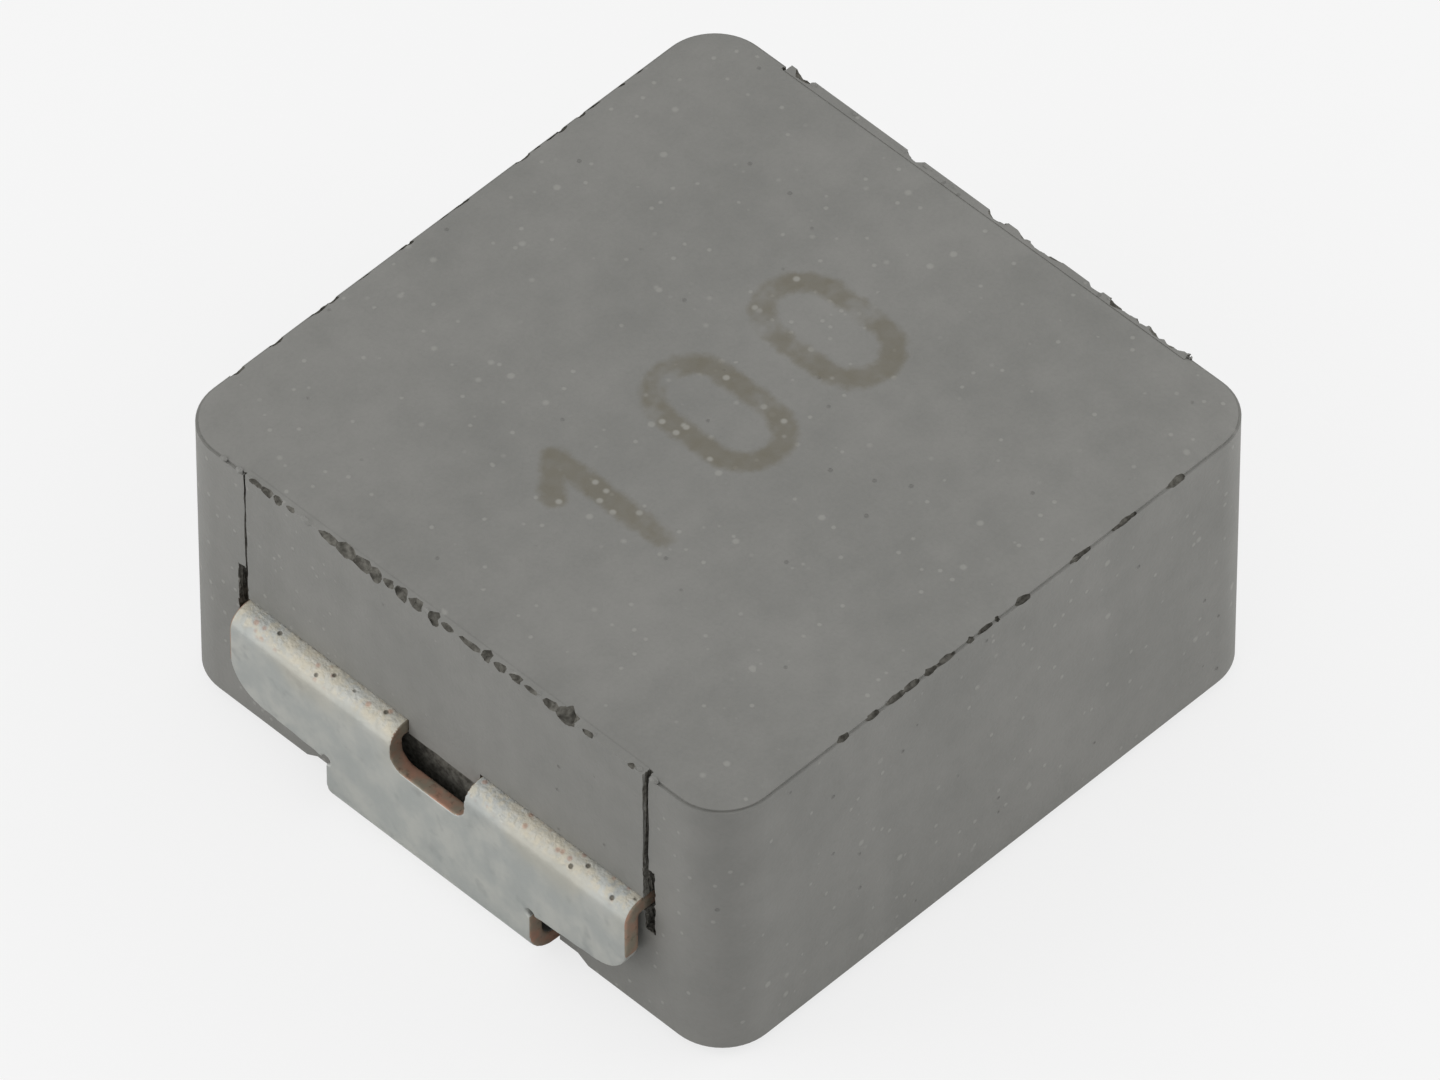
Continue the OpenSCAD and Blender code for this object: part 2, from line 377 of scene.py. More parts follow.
class Recipe:
    """A material's node tree while it is written."""

    def __init__(self, name: str) -> None:
        """Starts an empty material."""
        self.material = bpy.data.materials.new(name)
        self.material.use_nodes = True
        self.tree = self.material.node_tree
        self.tree.nodes.clear()
        place = self.node("ShaderNodeTexCoord", {}, {}).outputs["Object"]
        scaled = self.node("ShaderNodeVectorMath", {"operation": "SCALE"}, {0: place, "Scale": 1 / MM})
        self.place = scaled.outputs[0]
        axes = self.node("ShaderNodeSeparateXYZ", {}, {0: self.place})
        self.x, self.y, self.z = (Amount(self, socket) for socket in axes.outputs)

    def node(self, kind: str, settings: dict[str, Any], inputs: dict[Any, Any]) -> bpy.types.Node:
        """Adds a node, sets it, and fills its sockets.

        Args:
            kind: Type of the node.
            settings: Its own settings; a ramp's stops are place and colour under "stops".
            inputs: Values or links by socket name or number.

        Returns:
            The node.
        """
        made = self.tree.nodes.new(kind)
        for name, value in settings.items():
            if name == "stops":
                while len(made.color_ramp.elements) < len(value):
                    made.color_ramp.elements.new(0.5)
                for stop, (place, colour) in zip(made.color_ramp.elements, value):
                    stop.position, stop.color = place, colour
            else:
                setattr(made, name, value)
        for name, value in inputs.items():
            link = value.socket if isinstance(value, Amount) else value
            if isinstance(link, bpy.types.NodeSocket):
                self.tree.links.new(link, made.inputs[name])
            else:
                made.inputs[name].default_value = link
        return made

    def noise(self, fineness: float, detail: float = 2.0, stretch: Spot = (1, 1, 1),
              shift: float = 0.0) -> Amount:
        """Gives a cloudy value from 0 to 1.

        Args:
            fineness: Clouds in a millimetre.
            detail: How many finer layers it has.
            stretch: Fineness along each axis, as a share.
            shift: Moves the clouds, so that two of them differ.

        Returns:
            The value.
        """
        mapped = self.node("ShaderNodeMapping", {}, {0: self.place, "Scale": stretch,
                                                     "Location": (shift, shift * 0.7, shift * 0.3)})
        made = self.node("ShaderNodeTexNoise", {}, {"Vector": mapped.outputs[0], "Scale": fineness,
                                                    "Detail": detail, "Roughness": 0.55})
        return Amount(self, made.outputs[0])

    def grains(self, fineness: float, share: float, size: float, shift: float = 0.0) -> Amount:
        """Gives scattered grains.

        Args:
            fineness: Cells in a millimetre.
            share: Part of the cells that hold a grain.
            size: Grain's reach as a share of a cell.
            shift: Moves the grains, so that two sets differ.

        Returns:
            1 in a grain's middle, falling to 0 at its edge.
        """
        mapped = self.node("ShaderNodeMapping", {}, {0: self.place, "Location": (shift, shift, shift)})
        cells = self.node("ShaderNodeTexVoronoi", {}, {"Vector": mapped.outputs[0], "Scale": fineness})
        pick = self.node("ShaderNodeSeparateColor", {}, {0: cells.outputs["Color"]})
        chosen = Amount(self, pick.outputs[0]).ramp(1 - share, 1 - share + 0.02)
        return Amount(self, cells.outputs["Distance"]).ramp(size, size * 0.4) * chosen

    def mix(self, share: Any, first: Any, second: Any) -> bpy.types.NodeSocket:
        """Blends two colours.

        Args:
            share: How much of the second.
            first: A colour or a link to one.
            second: A colour or a link to one.

        Returns:
            The blend's socket.
        """
        made = self.node("ShaderNodeMix", {"data_type": "RGBA"}, {0: share, 6: first, 7: second})
        return made.outputs[2]

    def bump(self, height: Amount, reach: float, strength: float = 1.0) -> bpy.types.NodeSocket:
        """Raises a surface by a varying height.

        Args:
            height: The height, from 0 to 1.
            reach: What a height of 1 stands for.
            strength: How strongly it shows.

        Returns:
            The bumped normal.
        """
        made = self.node("ShaderNodeBump", {}, {"Strength": strength, "Distance": reach * MM,
                                                "Height": height})
        return made.outputs[0]

    def surface(self, **sockets: Any) -> bpy.types.Material:
        """Ends the material in a Principled shader.

        Args:
            **sockets: Values or links by the socket's name, with an underscore for each space.

        Returns:
            The material.
        """
        inputs = {name.replace("_", " "): value for name, value in sockets.items()}
        shader = self.node("ShaderNodeBsdfPrincipled", {}, inputs)
        self.node("ShaderNodeOutputMaterial", {}, {0: shader.outputs[0]})
        return self.material


@dataclass(frozen=True)
class PrintedValue:
    """The value code that a laser burns into the top, in the standard three figures."""

    middle: tuple[float, float] = (0.0, 0.0)
    height: float = 2.9
    width: float = 1.75
    pitch: float = 2.55
    line: float = 0.4
    corner: float = 0.72

    def nought(self, recipe: Recipe, x: float) -> Amount:
        """Gives the distance to a nought's line.

        Args:
            recipe: The material that it is burnt into.
            x: The figure's middle along X.

        Returns:
            The distance in millimetres, below 0 in the line.
        """
        across = abs(recipe.x - x) - (self.width / 2 - self.corner - self.line / 2)
        along = abs(recipe.y - self.middle[1]) - (self.height / 2 - self.corner - self.line / 2)
        out_x, out_y = across.most(0), along.most(0)
        reach = (out_x * out_x + out_y * out_y).root() + across.most(along).least(0) - self.corner
        return abs(reach) - self.line / 2

    def stroke(self, recipe: Recipe, start: tuple[float, float], end: tuple[float, float]) -> Amount:
        """Gives the distance to a straight line.

        Args:
            recipe: The material that it is burnt into.
            start: One end of the line's middle.
            end: The other end.

        Returns:
            The distance in millimetres, below 0 in the line.
        """
        run_x, run_y = end[0] - start[0], end[1] - start[1]
        square = run_x * run_x + run_y * run_y
        off_x, off_y = recipe.x - start[0], recipe.y - start[1]
        share = ((off_x * run_x + off_y * run_y) / square).least(1).most(0)
        gap_x, gap_y = off_x - share * run_x, off_y - share * run_y
        return (gap_x * gap_x + gap_y * gap_y).root() - self.line / 2

    def burnt(self, recipe: Recipe) -> Amount:
        """Gives where the code is burnt in.

        Args:
            recipe: The material that it is burnt into.

        Returns:
            1 in the figures' lines and 0 outside.
        """
        x, y = self.middle
        half = self.height / 2 - self.line / 2
        one = x - self.pitch
        figures = self.stroke(recipe, (one, y - half), (one, y + half))
        figures = figures.least(self.stroke(recipe, (one, y + half), (one - 0.62, y + half - 0.62)))
        for figure_x in (x, x + self.pitch):
            figures = figures.least(self.nought(recipe, figure_x))
        frayed = figures + (recipe.noise(5.0, 3) - 0.5) * 0.22
        return frayed.ramp(0.1, -0.08)


@dataclass(frozen=True)
class PressedPowder:
    """Matte grey skin of iron powder and resin as it leaves the die, with its laser-burnt value."""

    top: float
    dark: Colour = tone(121, 121, 117)
    light: Colour = tone(139, 138, 134)
    fleck: Colour = tone(168, 167, 161)
    pit: Colour = tone(92, 91, 87)
    burn: Colour = tone(104, 98, 80)
    value: PrintedValue = PrintedValue()

    def make(self) -> bpy.types.Material:
        """Writes the material.

        Returns:
            The material.
        """
        r = Recipe("pressed_powder")
        clouds = r.noise(0.42, 2)
        blotches = r.noise(2.1, 3, shift=4)
        streaks = r.noise(1.3, 2, stretch=(1, 1, 0.06), shift=9)
        grain = r.noise(13, 3, shift=2)
        shade = clouds * 0.45 + blotches * 0.25 + streaks * 0.2 + grain * 0.22 - 0.06
        colour = r.mix(shade.ramp(0.2, 0.8), self.dark, self.light)
        flecks = (r.grains(2.3, 0.2, 0.2) + r.grains(5.5, 0.12, 0.3, 3)).least(1)
        colour = r.mix(flecks * 0.4, colour, self.fleck)
        pits = r.grains(3.1, 0.12, 0.16, 7)
        colour = r.mix(pits * 0.45, colour, self.pit)
        on_top = r.z.ramp(self.top - 0.03, self.top - 0.01)
        burnt = self.value.burnt(r) * on_top * r.noise(1.1, 3, shift=5).ramp(0.28, 0.5)
        colour = r.mix(burnt * (0.35 + 0.5 * r.noise(3.4, 2, shift=6)), colour, self.burn)
        scorched = burnt * r.grains(4.2, 0.3, 0.34, 11)
        colour = r.mix(scorched * 0.6, colour, self.fleck)
        height = grain * 0.6 + blotches * 0.6 - pits * 1.4 + flecks * 0.5 - burnt * 0.8
        return r.surface(Base_Color=colour, Roughness=0.42 + 0.2 * grain + 0.1 * burnt,
                         Normal=r.bump(height, 0.012), Specular_IOR_Level=0.5)


@dataclass(frozen=True)
class BrokenPowderAndShade:
    """Broken powder in the chips, with painted shade in chips, seams and hollows: its dark tones stand in
    for the shade in them.
    """

    # Painted shade: both tones are darker than the skin to stand for the shade in the chips, seams, hollows,
    # channel and pocket.
    dark: Colour = tone(74, 72, 66)
    light: Colour = tone(118, 116, 109)

    def make(self) -> bpy.types.Material:
        """Writes the material.

        Returns:
            The material.
        """
        r = Recipe("broken_powder_and_shade")
        coarse = r.noise(9, 4)
        colour = r.mix(coarse.ramp(0.3, 0.7), self.dark, self.light)
        return r.surface(Base_Color=colour, Roughness=0.85, Normal=r.bump(coarse, 0.03),
                         Specular_IOR_Level=0.3)


@dataclass(frozen=True)
class TinPlate:
    """Matte tin on copper sheet: mottled on the flats, crumbled and bare of tin along the upper bend, with
    painted shade in the pits of the crumbled ledge.
    """

    bend_z: float
    sheet: float
    wing: float
    tin: Colour = tone(190, 193, 190)
    pale: Colour = tone(204, 205, 200)
    grey: Colour = tone(170, 173, 171)
    cream: Colour = tone(214, 206, 186)
    copper: Colour = tone(184, 142, 122)
    pit_shade: Colour = tone(96, 90, 78)

    def make(self) -> bpy.types.Material:
        """Writes the material.

        Returns:
            The material.
        """
        r = Recipe("tin_plate")
        mottle = r.noise(1.6, 3)
        fine = r.noise(7, 3, shift=3)
        colour = r.mix(mottle.ramp(0.35, 0.7), self.tin, self.pale)
        colour = r.mix(r.noise(2.3, 2, shift=8).ramp(0.58, 0.75) * 0.55, colour, self.grey)
        near_bend = r.z.ramp(self.bend_z - 0.9, self.bend_z - 0.1)
        colour = r.mix(near_bend * r.noise(0.9, 1, shift=6).ramp(0.35, 0.65) * 0.35, colour, self.cream)
        ledge = r.z.ramp(self.bend_z - 0.05, self.bend_z + 0.06)
        worn = ledge * r.noise(6.5, 3, shift=1).ramp(0.4, 0.62)
        colour = r.mix(worn * 0.6, colour, self.cream)
        bare = ledge * r.grains(6, 0.4, 0.42, 5)
        colour = r.mix(bare * 0.55, colour, self.copper)
        # Painted shade: the pits along the upper bend are coloured dark to stand for the shade in them.
        holes = ledge * r.grains(5.2, 0.28, 0.3, 12)
        colour = r.mix(holes * 0.85, colour, self.pit_shade)
        height = mottle * 0.8 + fine * 0.5 + ledge * (r.noise(11, 4) * 2.5) - holes * 3
        return r.surface(Base_Color=colour, Metallic=1.0 - 0.5 * ledge,
                         Roughness=0.5 + 0.16 * fine + 0.1 * ledge, Normal=r.bump(height, 0.012))


@dataclass(frozen=True)
class CutEdge:
    """Sheared edge of the sheet, with the copper core bare between two skins of tin."""

    copper: Colour = tone(176, 138, 118)
    dull: Colour = tone(150, 142, 126)
    dark: Colour = tone(92, 84, 70)

    def make(self) -> bpy.types.Material:
        """Writes the material.

        Returns:
            The material.
        """
        r = Recipe("cut_edge")
        drag = r.noise(3.0, 3)
        colour = r.mix(drag.ramp(0.35, 0.65), self.copper, self.dull)
        colour = r.mix(r.noise(8, 3, shift=2).ramp(0.55, 0.75) * 0.6, colour, self.dark)
        return r.surface(Base_Color=colour, Metallic=0.6, Roughness=0.5 + 0.2 * drag,
                         Normal=r.bump(drag, 0.02))


@dataclass(frozen=True)
class RibbonEnamel:
    """Amber enamel over copper ribbon, stripped where the tails are welded."""

    weld_x: float
    copper: Colour = tone(196, 124, 80)
    amber: Colour = tone(140, 72, 32)
    bare: Colour = tone(206, 140, 106)

    def make(self) -> bpy.types.Material:
        """Writes the material.

        Returns:
            The material.
        """
        r = Recipe("ribbon_enamel")
        draw = r.noise(0.8, 3)
        colour = r.mix(draw.ramp(0.3, 0.7), self.amber, self.copper)
        stripped = abs(r.x).ramp(self.weld_x - 0.15, self.weld_x + 0.05)
        colour = r.mix(stripped, colour, self.bare)
        return r.surface(Base_Color=colour, Metallic=0.85, Roughness=0.3 + 0.25 * stripped,
                         Coat_Weight=0.7 * (1 - stripped), Coat_Roughness=0.12,
                         Normal=r.bump(r.noise(6, 2), 0.006))


@dataclass(frozen=True)
class Chip:
    """A bite that has broken out of an edge, seen from its middle.

    Attributes:
        along: Place along the edge.
        length: Length along the edge.
        inward: Reach into the top face.
        down: Reach down the wall.
    """

    along: float
    length: float
    inward: float
    down: float


@dataclass
class PressedCore:
    """The pressed block: die walls, punched lands, soft rims, end panels and broken edges."""

    corner_r: float = 1.0
    corner_steps: int = 14
    land_inset: float = 0.05
    land_h: float = 0.1
    rim_w: float = 0.3
    rim_drop: float = 0.06
    panel_w: float = 9.1
    panel_out: float = 0.05
    panel_top: float = 0.035
    seam_w: float = 0.08
    seam_d: float = 0.12
    hollow_w: float = 0.22
    hollow_h: float = 1.5
    hollow_d: float = 0.25
    channel_w: float = 5.2
    channel_d: float = 0.14
    pocket_w: float = 6.0
    pocket_flare: float = 0.5
    slot_gap: float = 0.03
    notch_w: float = 1.7
    notch_in: float = 0.6
    sheet: float = 0.3
    foot_l: float = 2.3
    weld_in: float = 1.3
    terminal_out: float = 0.45
    foot_gap: float = 0.04
    foot_room: float = 0.25
    ragged_cuts: int = 14
    back_chips: int = 22
    side_chips: int = 40
    crease: float = 38
    front_chips: tuple[Chip, ...] = (
        Chip(5.45, 0.55, 0.05, 0.09), Chip(4.3, 0.34, 0.07, 0.1), Chip(4.05, 0.3, 0.1, 0.14),
        Chip(3.8, 0.22, 0.09, 0.16), Chip(3.5, 0.2, 0.07, 0.07), Chip(2.6, 0.5, 0.12, 0.14),
        Chip(2.25, 0.55, 0.15, 0.2), Chip(1.85, 0.5, 0.14, 0.22), Chip(1.55, 0.34, 0.11, 0.26),
        Chip(1.25, 0.26, 0.09, 0.12), Chip(0.95, 0.3, 0.14, 0.22), Chip(0.62, 0.34, 0.12, 0.17),
        Chip(0.22, 0.26, 0.15, 0.22), Chip(-0.1, 0.3, 0.07, 0.09), Chip(-0.62, 0.5, 0.07, 0.1),
        Chip(-0.98, 0.22, 0.16, 0.14), Chip(-1.3, 0.3, 0.08, 0.12), Chip(-1.66, 0.26, 0.1, 0.1),
        Chip(-2.0, 0.3, 0.05, 0.07), Chip(-2.45, 0.36, 0.1, 0.12), Chip(-2.8, 0.42, 0.22, 0.24),
        Chip(-3.3, 0.26, 0.05, 0.08), Chip(-4.28, 0.16, 0.06, 0.06), Chip(-5.4, 0.2, 0.06, 0.05),
    )
    low: Vector = field(default_factory=lambda: node_box("pressed_core")[0])
    high: Vector = field(default_factory=lambda: node_box("pressed_core")[1])
    sheet_low: float = field(default_factory=lambda: node_box("terminal_right")[1].z - 0.3)

    @property
    def end_x(self) -> float:
        """Gives the distance of an end face from the middle."""
        return self.high.x - self.panel_out

    def body(self) -> Workpiece:
        """Presses the block with its rounded corners, lands and rims.

        Returns:
            The block.
        """
        wall_low, wall_high = self.low.z + self.land_h, self.high.z - self.land_h
        core = Workpiece.block("core_block", (-self.end_x, self.low.y, wall_low),
                               (self.end_x, self.high.y, wall_high))
        with core.edges(lambda middle, run: abs(run.z) > 0.9):
            bpy.ops.mesh.bevel(offset=self.corner_r, segments=self.corner_steps, profile=0.5,
                               affect="EDGES")
        for side in (1, -1):
            with core.faces(lambda middle, normal: normal.z * side > 0.9):
                bpy.ops.mesh.inset(thickness=self.land_inset)
                rise = side * (self.land_h - self.rim_drop)
                bpy.ops.mesh.extrude_region_move(TRANSFORM_OT_translate={"value": (0, 0, rise)})
                bpy.ops.mesh.inset(thickness=self.rim_w, depth=self.rim_drop)
        return core

    def panel(self, side: int) -> Workpiece:
        """Makes the panel that the die's insert leaves, proud at one end and flush at the other.

        Args:
            side: 1 for the end at +X, -1 for the end at -X.

        Returns:
            The panel.
        """
        half, top = self.panel_w / 2, self.high.z - self.panel_top
        inner = self.end_x - self.seam_d
        panel = Workpiece.block("panel", (min(side * inner, side * self.high.x), -half, self.sheet_low),
                                (max(side * inner, side * self.high.x), half, top))
        flush = -side * half
        with panel.edges(lambda middle, run: abs(run.z) > 0.9 and abs(middle.y - flush) < 0.1
                         and abs(middle.x) > self.end_x):
            bpy.ops.transform.translate(value=(-side * (self.panel_out - 0.006), 0, 0))
        return panel

    def ragged(self, low: Sequence[float], high: Sequence[float], uneven: float, seed: int) -> Workpiece:
        """Makes a tool solid with an uneven skin.

        Args:
            low: Lowest corner.
            high: Highest corner.
            uneven: How far its points are moved.
            seed: Which of the uneven shapes it takes.

        Returns:
            The tool solid.
        """
        tool = Workpiece.block("ragged_tool", low, high)
        with tool.faces():
            bpy.ops.mesh.subdivide(number_cuts=self.ragged_cuts)
            bpy.ops.transform.vertex_random(offset=uneven, uniform=1.0, seed=seed)
        return tool

    def span(self, side: int, x0: float, x1: float, y0: float, y1: float, z0: float,
             z1: float) -> tuple[Spot, Spot]:
        """Gives the corners of a box whose X runs outward from the middle on one side."""
        ends = sorted((side * x0, side * x1))
        return (ends[0], min(y0, y1), z0), (ends[1], max(y0, y1), z1)

    def end_tools(self, side: int) -> list[Workpiece]:
        """Makes all that is cut out of one end: seams, hollows, channel, foot pocket, sheet slot.

        Args:
            side: 1 for the end at +X, -1 for the end at -X.

        Returns:
            The tool solids.
        """
        out, top, half = self.high.x + 0.05, self.high.z + 0.1, self.panel_w / 2
        mid_z = self.sheet_low + self.sheet
        tools = []
        for hand in (-1, 1):
            deep = self.seam_d if hand == side else self.seam_d * 0.45
            wide = self.seam_w if hand == side else self.seam_w * 0.6
            edge = hand * half
            tools.append(self.ragged(*self.span(side, self.end_x - deep, out, edge, edge + hand * wide,
                                                self.sheet_low, top), 0.016, 3 + hand + 7 * side))
            tools.append(self.ragged(*self.span(side, self.end_x - self.hollow_d, out, edge,
                                                edge + hand * self.hollow_w, mid_z - self.hollow_h / 2,
                                                mid_z + self.hollow_h / 2), 0.022, 5 + hand + 9 * side))
        gap, slot = self.slot_gap, self.panel_w / 2 + self.slot_gap
        tools.append(self.ragged(*self.span(side, self.end_x - self.channel_d, out, -self.channel_w / 2,
                                            self.channel_w / 2, 0, self.sheet_low), 0.02, 21 + side))
        low, high = self.sheet_low - gap, self.sheet_low + self.sheet + gap
        for hand in (-1, 1):
            tools.append(Workpiece.block("slot", *self.span(side, self.end_x - self.notch_in - 0.1, out,
                                                            hand * (self.notch_w / 2 - gap), hand * slot,
                                                            low, high)))
        tools.append(Workpiece.block("slot", *self.span(side, self.end_x - self.weld_in - gap,
                                                        self.end_x - self.notch_in + gap, -slot, slot,
                                                        low, high)))
        foot_x = self.end_x + self.terminal_out - self.foot_l - self.foot_room
        ceiling = self.sheet + self.foot_gap
        pocket = Workpiece.block("pocket", *self.span(side, foot_x, out, -self.pocket_w / 2,
                                                      self.pocket_w / 2, self.low.z - 0.05, ceiling))
        with pocket.edges(lambda middle, run: abs(run.x) > 0.9 and middle.z < self.low.z):
            wider = 1 + 2 * self.pocket_flare / self.pocket_w
            bpy.ops.transform.resize(value=(1, wider, 1), center_override=(0, 0, 0))
        tools.append(pocket)
        return tools

    def chips(self) -> list[Workpiece]:
        """Makes the bites that have broken out of the edges.

        Returns:
            The tool solids.
        """
        tools = []
        top, out = self.high.z - self.panel_top, self.high.x - 0.01
        for number, chip in enumerate(self.front_chips):
            tools.append(Workpiece.crumb("chip", (-out, chip.along, top),
                                         (chip.inward, chip.length / 2, chip.down), 30 + number))
        chance = random.Random(12)
        for number in range(self.back_chips):
            along = chance.uniform(-4.4, 4.4)
            tools.append(Workpiece.crumb("chip", (out, along, top),
                                         (chance.uniform(0.05, 0.15), chance.uniform(0.1, 0.3),
                                          chance.uniform(0.06, 0.2)), 70 + number))
        wall, ledge = self.high.y - self.land_inset, self.high.z - self.rim_drop
        for number in range(self.side_chips):
            side = -1 if number % 2 else 1
            along = chance.uniform(-5.2, 5.2)
            tools.append(Workpiece.crumb("chip", (along, side * (wall + 0.01), ledge - 0.03),
                                         (chance.uniform(0.05, 0.26), chance.uniform(0.03, 0.07),
                                          chance.uniform(0.03, 0.07)), 110 + number))
        return tools

    def burrs(self) -> list[Workpiece]:
        """Makes the small flecks that stand on the broken edges.

        Returns:
            The grains.
        """
        places = ((4.36, 0.12), (3.15, 0.16), (5.06, 0.07), (1.05, 0.1), (0.37, 0.13), (-0.88, 0.08),
                  (-1.52, 0.13), (-2.12, 0.09), (-3.4, 0.06), (-4.42, 0.09), (-4.75, 0.1), (4.7, 0.08))
        grains = []
        for number, (along, reach) in enumerate(places):
            grains.append(Workpiece.crumb("burr", (-self.high.x + 0.06, along, self.high.z - 0.06),
                                          (0.05, reach, 0.05), 200 + number))
            grains.append(Workpiece.crumb("burr", (self.high.x - 0.06, -along * 0.9, self.high.z - 0.06),
                                          (0.05, reach, 0.05), 230 + number))
        return grains

    def build(self) -> Workpiece:
        """Presses the core, breaks its edges and dresses it.

        Returns:
            The piece.
        """
        # broken is the material of the cut faces: broken powder, darkened as painted shade for the chips and
        # recesses.
        skin, broken = PressedPowder(self.high.z).make(), BrokenPowderAndShade().make()
        core = self.body()
        for side in (1, -1):
            core.set_in(self.panel(side), Joining.ADD)
        core.coat(skin)
        grains = self.burrs()
        grains[0].take_in(grains[1:])
        grains[0].coat(skin)
        core.set_in(grains[0], Joining.ADD, crossing=True)
        tools = [tool for side in (1, -1) for tool in self.end_tools(side)] + self.chips()
        tools[0].take_in(tools[1:])
        # The cut faces take the darkened material, which paints the shade in the chips, seams, hollows,
        # channel and pocket.
        tools[0].coat(broken)
        core.set_in(tools[0], Joining.CUT, crossing=True)
        core.body.name = "core_block"
        core.to_metres()
        core.smooth(self.crease)
        core.modify("WEIGHTED_NORMAL", mode="FACE_AREA", keep_sharp=True, weight=80)
        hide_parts("pressed_core")
        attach(core.body, ROOT)
        core.report()
        return core


@dataclass
class Terminal:
    """One folded terminal of tinned sheet: weld tab, upper bend, wings, tab, lower bend and foot."""

    side: int
    sheet: float = 0.3
    upper_r: float = 0.05
    lower_r: float = 0.3
    wing_rise: float = 0.15
    wing_r: float = 0.7
    wing_root: float = 1.15
    tab_w: float = 4.7
    foot_l: float = 2.3
    nick_r: float = 0.1
    notch_w: float = 1.7
    notch_floor: float = 2.22
    notch_r: float = 0.3
    notch_in: float = 0.6
    weld_in: float = 1.3
    end_x: float = 6.3
    grain: float = 0.0315
    quick_grain: float = 0.06
    low: Vector = field(default_factory=lambda: node_box("terminal_right")[0])
    high: Vector = field(default_factory=lambda: node_box("terminal_right")[1])

    def fold(self) -> Workpiece:
        """Folds the sheet at +X.

        Returns:
            The folded sheet, still with square wings.
        """
        face_x, half, top = self.high.x, self.high.y, self.high.z
        under = top - self.sheet
        upper_x, upper_z = face_x - self.sheet - self.upper_r, under - self.upper_r
        lower_x, lower_z = face_x - self.sheet - self.lower_r, self.sheet + self.lower_r
        sheet = Workpiece.block("sheet", (self.end_x - self.weld_in, -half, under), (upper_x, half, top))
        for cut_y in (-self.tab_w / 2, self.tab_w / 2):
            with sheet.faces():
                bpy.ops.mesh.bisect(plane_co=(0, cut_y, 0), plane_no=(0, 1, 0))
        with sheet.faces(lambda middle, normal: normal.x > 0.9):
            bpy.ops.mesh.spin(steps=6, angle=-math.pi / 2, center=(upper_x, 0, upper_z),
                              axis=(0, 1, 0))
            drop = (self.wing_root - upper_z)
            bpy.ops.mesh.extrude_region_move(TRANSFORM_OT_translate={"value": (0, 0, drop)})
        inside = self.tab_w / 2
        with sheet.faces(lambda middle, normal: normal.z < -0.9 and middle.z < self.wing_root + 0.1
                         and abs(middle.y) < inside):
            drop = (lower_z - self.wing_root)
            bpy.ops.mesh.extrude_region_move(TRANSFORM_OT_translate={"value": (0, 0, drop)})
            bpy.ops.mesh.spin(steps=8, angle=-math.pi / 2, center=(lower_x, 0, lower_z),
                              axis=(0, 1, 0))
            run = (face_x - self.foot_l - lower_x)
            bpy.ops.mesh.extrude_region_move(TRANSFORM_OT_translate={"value": (run, 0, 0)})
        return sheet

    def trim(self, sheet: Workpiece) -> None:
        """Rounds the wings, and cuts the notch and the relief nicks.

        Args:
            sheet: The folded sheet.
        """
        def wing_corner(middle: Vector, run: Vector) -> bool:
            """Finds the lower outer corners of the wings."""
            return abs(run.x) > 0.9 and abs(middle.y) > self.high.y - 0.1 and middle.z < self.wing_root + 0.4

        with sheet.edges(wing_corner):
            bpy.ops.transform.translate(value=(0, 0, self.wing_rise))
        with sheet.edges(wing_corner):
            bpy.ops.mesh.bevel(offset=self.wing_r, segments=8, profile=0.5, affect="EDGES")
        notch = Workpiece.block("notch", (self.end_x - self.notch_in, -self.notch_w / 2, self.notch_floor),
                                (self.high.x + 0.2, self.notch_w / 2, self.high.z + 0.2))
        with notch.edges(lambda middle, run: abs(run.x) > 0.9 and middle.z < self.notch_floor + 0.1):
            bpy.ops.mesh.bevel(offset=self.notch_r, segments=8, profile=0.5, affect="EDGES")
        sheet.set_in(notch, Joining.CUT)
        for hand in (-1, 1):
            nick = Workpiece.rod("nick", (self.end_x, hand * self.tab_w / 2, self.wing_root), 1.0,
                                 self.nick_r)
            sheet.set_in(nick, Joining.CUT)

    def wear(self, sheet: Workpiece) -> None:
        """Softens the sheet's corners and crumbles the tin along the upper bend.

        Args:
            sheet: The trimmed sheet.
        """
        size = self.grain
        sheet.modify("REMESH", mode="VOXEL", voxel_size=size)
        sheet.modify("SMOOTH", factor=0.5, iterations=3)
        ledge = sheet.body.vertex_groups.new(name="ledge")
        skin = sheet.body.vertex_groups.new(name="skin")
        for vertex in sheet.body.data.vertices:
            place = vertex.co
            up = max(0.0, min(1.0, (place.z - self.high.z + 0.2) / 0.16))
            out = max(0.0, min(1.0, (place.x - self.end_x + 0.02) / 0.1))
            ledge.add([vertex.index], up * out, "REPLACE")
            skin.add([vertex.index], out, "REPLACE")
        for name, kind, scale, reach, level in (("flakes", "CLOUDS", 0.16, 0.16, 0.62),
                                                ("pits", "STUCCI", 0.1, 0.07, 0.7)):
            texture = bpy.data.textures.new(name, kind)
            texture.noise_scale = scale
            sheet.modify("DISPLACE", texture=texture, strength=reach, mid_level=level,
                         vertex_group="ledge", texture_coords="LOCAL")
        waves = bpy.data.textures.new("waves", "CLOUDS")
        waves.noise_scale = 0.7
        sheet.modify("DISPLACE", texture=waves, strength=0.03, mid_level=0.75,
                     vertex_group="skin", texture_coords="LOCAL")
        for vertex in sheet.body.data.vertices:
            vertex.co.x = min(vertex.co.x, self.high.x)
            vertex.co.z = max(vertex.co.z, self.low.z)

    def dress(self, sheet: Workpiece) -> None:
        """Tins the sheet and bares its sheared edges.

        Args:
            sheet: The worn sheet.
        """
        half = self.high.y
        sheet.coat(TinPlate(self.high.z - self.sheet / 2, self.sheet, half).make(), CutEdge().make())

